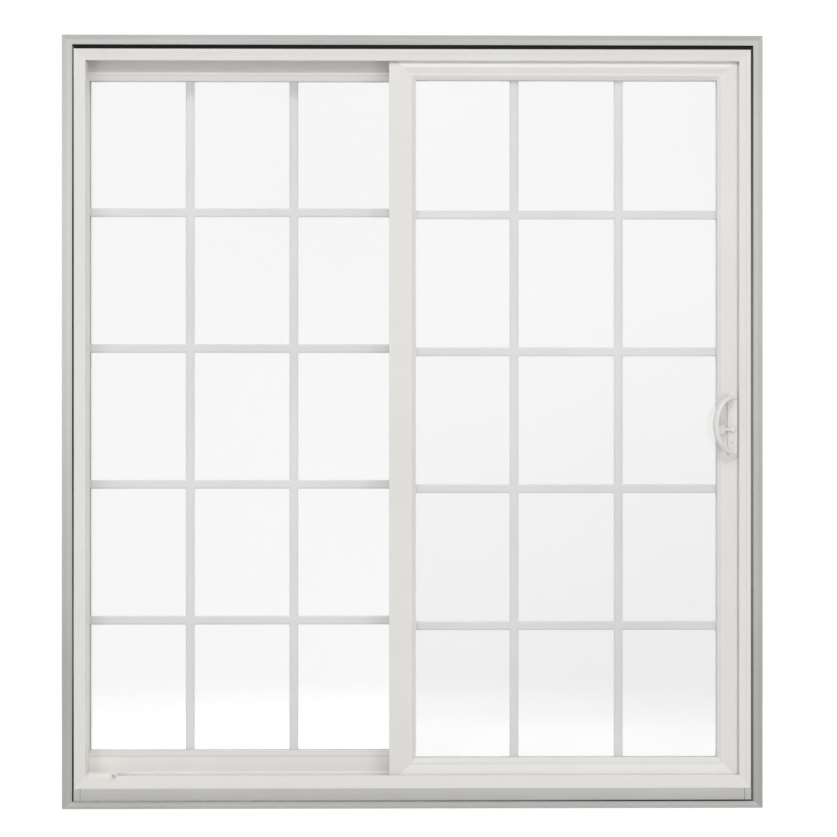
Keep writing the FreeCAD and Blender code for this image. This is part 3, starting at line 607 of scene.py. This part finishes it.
def bowPull(name, node, plateNode, side, leanDegrees):
    # the centre line is an arc of a circle that leans towards the glass: seat + outward * (R cos a -
    # (R - sagitta)) + up * R sin a; the section is an oval across it, wider near the feet, cut flat at the plate
    plateLow, plateHigh = nodeBox(plateNode)
    seat = plateLow[1] if side < 0 else plateHigh[1]
    rootX = (plateLow[0] + plateHigh[0]) / 2
    middleZ = (plateLow[2] + plateHigh[2]) / 2
    chord, sagitta = pullSizes["chord"], pullSizes["sagitta"]
    radius = (chord ** 2 / 4 + sagitta ** 2) / (2 * sagitta)
    lean = math.radians(leanDegrees)
    outward = np.array([-math.sin(lean), side * math.cos(lean), 0.0])
    across = np.array([outward[1], -outward[0], 0.0])
    upward = np.array([0.0, 0.0, 1.0])
    reach = math.asin(chord / 2 / radius) * pullSizes["overrun"]
    along = np.linspace(-reach, reach, 97)
    widening = (np.abs(along) / reach - pullSizes["flareFrom"]) / (1 - pullSizes["flareFrom"])
    flare = pullSizes["flare"] * np.clip(widening, 0, 1) ** 2
    waist = 1.0 + pullSizes["waist"] * np.cos(along / reach * np.pi / 2) ** 2
    normal = np.cos(along)[:, None] * outward + np.sin(along)[:, None] * upward
    line = (np.array([rootX, seat, middleZ]) + (radius * np.cos(along) - (radius - sagitta))[:, None] * outward
            + (radius * np.sin(along))[:, None] * upward)
    ovalX, ovalY = rounded(np.linspace(0, 2 * np.pi, 40, endpoint=False), pullSizes["ovalPower"])
    wide = np.outer(pullSizes["halfWidth"] * waist + flare, ovalX)
    thick = np.outer(pullSizes["halfThickness"] + flare, ovalY)
    points = line[:, None, :] + wide[..., None] * across + thick[..., None] * normal[:, None, :]
    points[..., 1] = np.minimum(points[..., 1], seat) if side < 0 else np.maximum(points[..., 1], seat)
    parts = [(points, False, True, True)]
    for level in (middleZ - chord / 2, middleZ + chord / 2):
        parts.append((pullFoot((rootX, seat, level), side), False, True, False))
    pull = joinedMesh(name, parts, 45)
    return finishPiece(pull, "sliding_panel", "handle_white", handlePaint, node)


latchSizes = {
    "hubInset": 9.0 * mm,       # pivot to the right end of the latch
    "hubProfile": [(0.0, 0.2), (8.8, 0.2), (8.8, 3.0), (8.2, 4.4), (6.6, 5.6), (4.0, 6.0), (0.0, 6.1)],  # mm
    "armPast": 4.0 * mm,        # the arm begins this far past the pivot
    "armHalfHeight": 4.9 * mm,
    "armWaist": 0.9 * mm,
    "armHalfDepth": 2.5 * mm,
    "armLift": 3.4 * mm,        # of the arm's middle off the plate, at the hub
    "armRise": 1.2 * mm,        # from there to the paddle
    "paddleWidth": 19 * mm,
    "paddleFoot": 0.5 * mm,
    "paddleTop": 9.1 * mm,
    "paddleRoll": 2.4 * mm,
    "paddlePower": 2 / 3.2,
    "hollow": (0.5, 0.8),       # mm, of the two inner rings of the paddle's face
    "hollowInset": (5.0, 7.4),  # mm, of those rings from the paddle's side
}


def latchArm(hubX, paddleX, seat, middleZ):
    # along the arm its section's half height thins to a waist, and both ends close as (1 - |2u - 1|^6)^0.5
    u = (1 - np.cos(np.linspace(0, np.pi, 41))) / 2
    closing = np.clip(1 - np.abs(2 * u - 1) ** 6, 0, 1) ** 0.5
    start = hubX + latchSizes["armPast"]
    x = start - u * (start - paddleX)
    halfHeight = (latchSizes["armHalfHeight"] - latchSizes["armWaist"] * np.sin(u * np.pi)) * closing
    halfDepth = latchSizes["armHalfDepth"] * closing
    lift = latchSizes["armLift"] + latchSizes["armRise"] * u
    turn = np.linspace(0, 2 * np.pi, 28, endpoint=False)
    z = middleZ + halfHeight[:, None] * np.cos(turn)
    y = seat - lift[:, None] - halfDepth[:, None] * np.sin(turn)
    return np.stack([np.broadcast_to(x[:, None], z.shape), y, z], axis=-1)


def latchPaddle(paddleX, halfWide, halfTall, seat, middleZ):
    # a stack of superellipse rings |x/a|^n + |z/b|^n = 1, drawn in over a rolled edge and hollowed for the thumb
    ringX, ringZ = rounded(np.linspace(0, 2 * np.pi, 56, endpoint=False), latchSizes["paddlePower"])
    roll = np.linspace(0, np.pi / 2, 6)
    edge, foot, top = latchSizes["paddleRoll"], latchSizes["paddleFoot"], latchSizes["paddleTop"]
    inset = np.concatenate([[edge * 0.5, 0.0], edge * (1 - np.cos(roll)),
                            np.array(latchSizes["hollowInset"]) * mm])
    height = np.concatenate([[foot, foot + 0.9 * mm], top - edge + edge * np.sin(roll),
                             top - np.array(latchSizes["hollow"]) * mm])
    depth = np.broadcast_to(seat - height[:, None], (len(height), len(ringX)))
    return np.stack([paddleX + np.outer(halfWide - inset, ringX), depth,
                     middleZ + np.outer(halfTall - inset, ringZ)], axis=-1)


def thumbLever(name):
    # a turned hub on the pivot, the arm and the paddle, in one mesh
    low, high = nodeBox("thumb_latch")
    seat = nodeBox("room_handle_plate")[0][1]
    middleZ = (low[2] + high[2]) / 2
    hubX = high[0] - latchSizes["hubInset"]
    halfWide, halfTall = latchSizes["paddleWidth"] / 2, (high[2] - low[2]) / 2
    paddleX = low[0] + halfWide
    hub = turned(np.array(latchSizes["hubProfile"]) * mm, (hubX, seat, middleZ), (0, -1, 0), 40)
    parts = [(latchArm(hubX, paddleX, seat, middleZ), False, True, True),
             (latchPaddle(paddleX, halfWide, halfTall, seat, middleZ), False, True, True),
             (hub, False, True, False)]
    lever = joinedMesh(name, parts, 45)
    return finishPiece(lever, "latch", "handle_white", handlePaint, "thumb_latch")


handlePlate("roomHandlePlate", "room_handle_plate", -1)
handlePlate("gardenHandlePlate", "garden_handle_plate", 1)
bowPull("roomPull", "room_pull", "room_handle_plate", -1, pullSizes["roomLean"])
bowPull("gardenPull", "garden_pull", "garden_handle_plate", 1, pullSizes["gardenLean"])
thumbLever("thumbLever")
print("handle set made")


# screws

screwSizes = {  # a set is (middle of the piece to each screw, radius of the head, rise of its dome)
    "plate": (48 * mm, 3.6 * mm, 1.5 * mm),
    "faceplate": (66 * mm, 3.4 * mm, 1.0 * mm),
    "keeper": (46 * mm, 3.8 * mm, 1.4 * mm),
    "crossReach": 0.62,         # of the cross, in shares of the head's radius
    "crossHalfWidth": 0.13,
    "crossDepth": 0.75,         # in shares of the dome's rise
}


def crossScrew(centre, axis, radius, rise):
    # a dome of radius and rise with a cross sunk into it; r and a are polar on the head, and the recess is
    # deepest where the smaller of the two distances to the cross's arms is nil
    axis = np.array(axis, float)
    side = np.array([1.0, 0.0, 0.0]) if abs(axis[0]) < 0.9 else np.array([0.0, 1.0, 0.0])
    up = np.cross(axis, side)
    r = np.concatenate([np.linspace(0.02, 0.9, 14), np.cos(np.linspace(0.45, 0.0, 5)), [1.0]])
    a = np.linspace(0, 2 * np.pi, 48, endpoint=False)
    across, upright = np.outer(r, np.cos(a)), np.outer(r, np.sin(a))
    arm = np.minimum(np.abs(across), np.abs(upright))
    inside = np.clip((screwSizes["crossReach"] - r) / 0.1, 0, 1)[:, None]
    cut = np.clip((screwSizes["crossHalfWidth"] - arm) / 0.06, 0, 1) * inside
    dome = rise * np.sqrt(np.clip(1 - (r * 0.98) ** 2, 0, 1))[:, None]
    height = dome * (1 - screwSizes["crossDepth"] * cut)
    height[-1] = 0.0
    return (np.array(centre, float) + radius * across[..., None] * side + radius * upright[..., None] * up
            + height[..., None] * axis)


def screwSet(name, places, axis, radius, rise, body, material):
    parts = [(crossScrew(place, axis, radius, rise), False, True, True) for place in places]
    return finishPiece(joinedMesh(name, parts, 60), body, "steel", material)


def screwPair(name, node, axis, sizes, body, material):
    # two screws above and below the middle of the piece, on the face that the axis points out of
    low, high = nodeBox(node)
    away, radius, rise = sizes
    face = np.where(np.array(axis) > 0, high, np.where(np.array(axis) < 0, low, (low + high) / 2))
    places = [face + np.array((0.0, 0.0, step)) for step in (-away, away)]
    return screwSet(name, places, axis, radius, rise, body, material)


screwPair("roomPlateScrews", "room_handle_plate", (0, -1, 0), screwSizes["plate"], "sliding_panel", handlePaint)
screwPair("faceplateScrews", "mortise_lock", (1, 0, 0), screwSizes["faceplate"], "sliding_panel", lockSteel)
screwPair("keeperScrews", "strike_keeper", (-1, 0, 0), screwSizes["keeper"], "frame", lockSteel)


# stop block's button and corner plug

buttonSizes = {
    "radius": 8.0 * mm,
    "rise": 2.2 * mm,
    "foot": 0.6 * mm,           # where the half-round rim begins
    "fromEnd": 9.5 * mm,        # middle of the button to the block's end
    "fromTop": 4.6 * mm,
    "dish": 5.2 * mm,           # radius of the hollow round the screw
    "dishFloor": 0.3 * mm,
    "screwRadius": 4.4 * mm,
    "screwRise": 1.1 * mm,
}


def stopButton():
    # the block is held by one screw in a low round button: a profile that rises over a half-round rim and falls
    # into a dished middle, turned round the screw's axis
    low, high = nodeBox("panel_stop")
    radius, rise, foot, dish = (buttonSizes[key] for key in ("radius", "rise", "foot", "dish"))
    floorLevel = buttonSizes["dishFloor"]
    centre = (high[0] - buttonSizes["fromEnd"], low[1], high[2] - buttonSizes["fromTop"])
    a = np.linspace(0, np.pi, 13)
    rim = np.stack([(radius + dish) / 2 + (radius - dish) / 2 * np.cos(a), foot + (rise - foot) * np.sin(a)],
                   axis=-1)
    profile = np.concatenate([[(0.0, 0.0), (radius, 0.0)], rim,
                              [(dish - 0.2 * mm, floorLevel), (0.0, floorLevel)]])
    button = gridMesh("stopButton", turned(profile, centre, (0, -1, 0), 48), 50, wrapColumns=True)
    finishPiece(button, "frame", "white_vinyl", vinylBead)
    head = (centre[0], centre[1] - floorLevel, centre[2])
    screwSet("stopScrew", [head], (0, -1, 0), buttonSizes["screwRadius"], buttonSizes["screwRise"], "frame",
             sillCap)


plugSizes = {
    "gap": 8 * mm,              # between the jamb and the block
    "clearance": 0.05 * mm,
    "foot": 16 * mm,            # below the block's top
    "top": 0.8 * mm,
    "front": 5.0 * mm,          # behind the block's front
    "rear": 0.5 * mm,
    "power": 2 / 4.5,
}


def cornerPlug():
    # a soft plug closes the gap between the jamb and the block: a superellipse carried from front to back
    low, high = nodeBox("panel_stop")
    halfGap = plugSizes["gap"] / 2
    foot, top = high[2] - plugSizes["foot"], high[2] - plugSizes["top"]
    across, upright = rounded(np.linspace(0, 2 * np.pi, 32, endpoint=False), plugSizes["power"])
    x = low[0] - halfGap + (halfGap - plugSizes["clearance"]) * across
    z = (foot + top) / 2 + (top - foot) / 2 * upright
    y = np.linspace(low[1] + plugSizes["front"], high[1] - plugSizes["rear"], 9)
    points = np.stack(np.broadcast_arrays(x, y[:, None], z), axis=-1)
    plug = gridMesh("cornerPlug", points, 50, wrapColumns=True, closeEnds=True)
    finishPiece(plug, "frame", "white_vinyl", vinylLowPaintedLight)


stopButton()
cornerPlug()
print("screws made")


# seals

sealSizes = {
    "bite": 12 * mm,            # of the glass behind the beads
    "lip": 1.4 * mm,            # what shows of the seal on the glass
    "rise": 1.2 * mm,
}


def glazingSeal(name, pane, body, side):
    # a quarter-round lip carried round the glass opening: inward by lip * cos a, off the glass by rise * sin a
    low, high = nodeBox(pane)
    glass = low[1] if side < 0 else high[1]
    a = np.linspace(0, np.pi / 2, 6)
    arc = np.stack([sealSizes["lip"] * np.cos(a), glass + side * sealSizes["rise"] * np.sin(a)], axis=-1)
    profile = np.concatenate([arc, [(0.0, glass)]])
    bite = np.array([sealSizes["bite"], 0.0, sealSizes["bite"]])
    ring = rectangleRing(profile, low + bite, high - bite)
    seal = gridMesh(name, ring, 30, wrapRows=True, wrapColumns=True)
    return finishPiece(seal, body, "black_gasket", sealRubber)


for panel, body in (("fixed", "frame"), ("sliding", "sliding_panel")):
    glazingSeal(panel + "RoomSeal", panel + "_room_pane", body, -1)
    glazingSeal(panel + "GardenSeal", panel + "_garden_pane", body, 1)

pileSizes = {
    "halfWidth": 2.6 * mm,
    "height": 4.3 * mm,
    "spacing": 3.0 * mm,        # between the tufts along the strip
    "shortest": 0.78,           # share of the height that the shortest tuft has
    "sway": 0.35 * mm,
    "lipGap": 5 * mm,           # from the sliding panel to the lip that holds the strip
    "fromTop": 7 * mm,          # below the top of the panel
    "clearOfStop": 84 * mm,
    "seed": 11,
}


def pileStrip(name, start, end, outward):
    # five lines of points along the strip: two at the base, two at the swell and one at the tip; the upper
    # three are shortened and swayed by a seeded draw
    start, end, outward = (np.array(v, float) for v in (start, end, outward))
    length = np.linalg.norm(end - start)
    along = (end - start) / length
    across = np.cross(along, outward)
    count = int(length / pileSizes["spacing"])
    draw = np.random.default_rng(pileSizes["seed"])
    spot = np.linspace(0, length, count)[:, None]
    half, tall, sway = pileSizes["halfWidth"], pileSizes["height"], pileSizes["sway"]
    sideways = np.array([-half, -half * 0.8, 0.0, half * 0.8, half])[None, :]
    raised = np.array([0.0, tall * 0.6, tall, tall * 0.6, 0.0])[None, :]
    shake = draw.uniform(pileSizes["shortest"], 1.0, (count, 5))
    swayed = draw.uniform(-sway, sway, (count, 5))
    raised = raised * np.where(raised > 0, shake, 1.0)
    sideways = sideways + np.where(raised > 0, swayed, 0.0)
    points = (start + spot[..., None] * along + sideways[..., None] * across
              + raised[..., None] * outward)
    strip = gridMesh(name, points, 25, wrapColumns=True, closeEnds=True)
    return finishPiece(strip, "frame", "black_gasket", pileGrey)


def allPile():
    left, right = nodeBox("left_jamb")[1][0], nodeBox("right_jamb")[0][0]
    railLow, railHigh = nodeBox("sliding_top_rail")
    lipBack = railLow[1] - pileSizes["lipGap"]
    top = railHigh[2] - pileSizes["fromTop"]
    pileStrip("headPile", (left, lipBack, top), (right, lipBack, top), (0, 1, 0))
    crest = nodeBox("roller_rail")[1][2]
    pileStrip("sillPile", (left + pileSizes["clearOfStop"], lipBack, crest), (right, lipBack, crest), (0, 1, 0))


allPile()
print("seals made")


# weld lines where the vinyl members meet

weldSizes = {
    "halfWidth": 0.55 * mm,
    "rise": 0.14 * mm,
    "fromCorner": 1.5 * mm,     # along X and Z, where a line begins
    "reach": 50 * mm,           # and where it ends
}


def weldLine(start, end, normal):
    # a shallow half-round ridge: across by half * cos a, off the face by rise * sin a
    start, end, normal = (np.array(v, float) for v in (start, end, normal))
    along = (end - start) / np.linalg.norm(end - start)
    across = np.cross(along, normal)
    a = np.linspace(0, np.pi, 7)
    section = (weldSizes["halfWidth"] * np.cos(a)[:, None] * across
               + weldSizes["rise"] * np.sin(a)[:, None] * normal)
    return np.stack([start + section, end + section])


def panelWelds(name, members, body):
    # mitre lines run from the outer corners of the panel towards the corners of the glass opening
    low = np.min([nodeBox(m)[0] for m in members], axis=0)
    high = np.max([nodeBox(m)[1] for m in members], axis=0)
    face = nodeBox(members[1])[0][1]
    first, last = weldSizes["fromCorner"], weldSizes["reach"]
    parts = []
    for x, signX in ((low[0], 1), (high[0], -1)):
        for z, signZ in ((low[2], 1), (high[2], -1)):
            line = weldLine((x + signX * first, face, z + signZ * first),
                            (x + signX * last, face, z + signZ * last), (0, -1, 0))
            parts.append((line, False, True, True))
    return finishPiece(joinedMesh(name, parts, 60), body, "white_vinyl", vinylBead)


panelWelds("slidingWelds", ["meeting_stile", "sliding_top_rail", "lock_stile", "sliding_bottom_rail"],
           "sliding_panel")
print("weld lines made")


# floor and room

roomSizes = {
    "halfFloor": 40.0,
    "floorBelow": 0.2 * mm,     # under the lowest point of the door
    "whiteFrom": 1.3,           # metres from the door's foot where the floor begins to turn white
    "whiteTo": 3.0,
    "floorLift": 0.5,           # light added to the near floor for rays that see it
    "fill": 0.43,               # strength of the room's white as a lamp; it is 1 where it is seen
}


def seenRays(nodes, links):
    # 1 for rays from the camera, a mirror or clear glass, else 0
    path = nodes.new("ShaderNodeLightPath")
    seen = path.outputs["Is Camera Ray"]
    for kind in ("Is Glossy Ray", "Is Transmission Ray"):
        seen = mathOf(nodes, links, "MAXIMUM", seen, path.outputs[kind])
    return seen


def makeFloor():
    # near the door the floor keeps the door's shadow; farther out it turns into the same white as the world
    # behind it, by the distance from the door's foot
    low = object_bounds()[0]
    size = roomSizes["halfFloor"]
    corners = np.array([[-size, -size], [size, -size], [size, size], [-size, size]])
    points = np.concatenate([corners, np.full((4, 1), low[2] - roomSizes["floorBelow"])], axis=1)
    mesh = bpy.data.meshes.new("floor")
    mesh.from_pydata(points.tolist(), [], [[0, 1, 2, 3]])
    floor = bpy.data.objects.new("floor", mesh)
    bpy.context.scene.collection.objects.link(floor)
    material, nodes, links, shader = newMaterial("pale_floor")
    shader.inputs["Base Color"].default_value = (0.8, 0.8, 0.8, 1.0)
    shader.inputs["Roughness"].default_value = 0.9
    shader.inputs["Specular IOR Level"].default_value = 0.0
    coords = nodes.new("ShaderNodeTexCoord")
    away = nodes.new("ShaderNodeVectorMath")
    away.operation = "LENGTH"
    links.new(coords.outputs["Object"], away.inputs[0])
    far = spread(nodes, links, away.outputs["Value"], 0.0, 1.0, roomSizes["whiteFrom"], roomSizes["whiteTo"],
                 "SMOOTHSTEP")
    seen = seenRays(nodes, links)
    glow = nodes.new("ShaderNodeEmission")
    links.new(mathOf(nodes, links, "MULTIPLY", seen, roomSizes["floorLift"]), glow.inputs["Strength"])
    near = nodes.new("ShaderNodeAddShader")
    links.new(shader.outputs["BSDF"], near.inputs[0])
    links.new(glow.outputs["Emission"], near.inputs[1])
    white = nodes.new("ShaderNodeEmission")
    white.inputs["Strength"].default_value = 1.0
    farSeen = mathOf(nodes, links, "MULTIPLY", far, seen)
    mixShaders(nodes, links, farSeen, near.outputs["Shader"], white.outputs["Emission"])
    mesh.materials.append(material)


def makeWorld():
    world = bpy.data.worlds.new("studio")
    bpy.context.scene.world = world
    world.use_nodes = True
    nodes, links = world.node_tree.nodes, world.node_tree.links
    strength = spread(nodes, links, seenRays(nodes, links), roomSizes["fill"], 1.0)
    links.new(strength, nodes["Background"].inputs["Strength"])
    nodes["Background"].inputs["Color"].default_value = (1.0, 1.0, 1.0, 1.0)


# lamps and camera

lampTarget = (0.0, 0.0, 1.0)
lamps = {  # place, width and height, watts
    "keyLamp": ((-0.3, -4.0, 6.3), (1.1, 0.9), 130.0),
    "highLamp": ((0.0, -7.6, 4.9), (3.0, 1.4), 26.0),
    "frontLamp": ((0.0, -6.6, 4.1), (3.0, 1.2), 36.0),
    "leftLamp": ((-3.0, -4.8, 1.7), (1.3, 2.2), 5.0),
    "rightLamp": ((3.0, -4.8, 1.7), (1.3, 2.2), 12.0),
    "lowLeftLamp": ((-2.4, -3.0, 0.5), (1.2, 0.7), 17.0),
    "lowRightLamp": ((2.4, -3.0, 0.5), (1.2, 0.7), 16.0),
    "gardenLamp": ((0.5, 5.0, 7.0), (2.0, 2.0), 150.0),
}
viewSizes = {
    "distance": 5.8,            # camera to the room face of the frame
    "yaw": 0.65,                # degrees the camera stands to the left of square on
    "scale": 2.6936 * mm,       # of door to each pixel of the photograph
    "pictureWidth": 837,
    "centreColumn": 412.9,      # pixel of the frame's middle
    "centreRow": 424.5,
    "sensorWidth": 36.0,        # millimetres
}


def areaLamp(name, place, size, power):
    lamp = bpy.data.lights.new(name, "AREA")
    lamp.shape = "RECTANGLE"
    lamp.size, lamp.size_y = size
    lamp.energy = power
    holder = bpy.data.objects.new(name, lamp)
    bpy.context.scene.collection.objects.link(holder)
    holder.location = place
    holder.rotation_euler = (Vector(lampTarget) - Vector(place)).to_track_quat("-Z", "Y").to_euler()
    holder.visible_glossy = name == "keyLamp"  # only the key is mirrored; the glass shows the plain room


def makeCamera():
    face = nodeBox("head_member")[0][1]
    middleZ = (nodeBox("head_member")[1][2] + nodeBox("sill_member")[0][2]) / 2
    picture, scale, distance = viewSizes["pictureWidth"], viewSizes["scale"], viewSizes["distance"]
    aimX = (picture / 2 - viewSizes["centreColumn"]) * scale
    aimZ = middleZ + (viewSizes["centreRow"] - picture / 2) * scale
    yaw = math.radians(viewSizes["yaw"])
    camera = bpy.data.cameras.new("camera")
    camera.sensor_width = viewSizes["sensorWidth"]
    camera.lens = viewSizes["sensorWidth"] * distance / (picture * scale)
    holder = bpy.data.objects.new("camera", camera)
    holder.location = (aimX - distance * math.sin(yaw), face - distance * math.cos(yaw), aimZ)
    holder.rotation_euler = (math.pi / 2, 0.0, -yaw)
    bpy.context.scene.collection.objects.link(holder)
    bpy.context.scene.camera = holder
    bpy.context.scene.view_settings.view_transform = "Standard"


makeFloor()
makeWorld()
for lampName, (place, size, power) in lamps.items():
    areaLamp(lampName, place, size, power)
makeCamera()
print("stage, lamps and camera set")
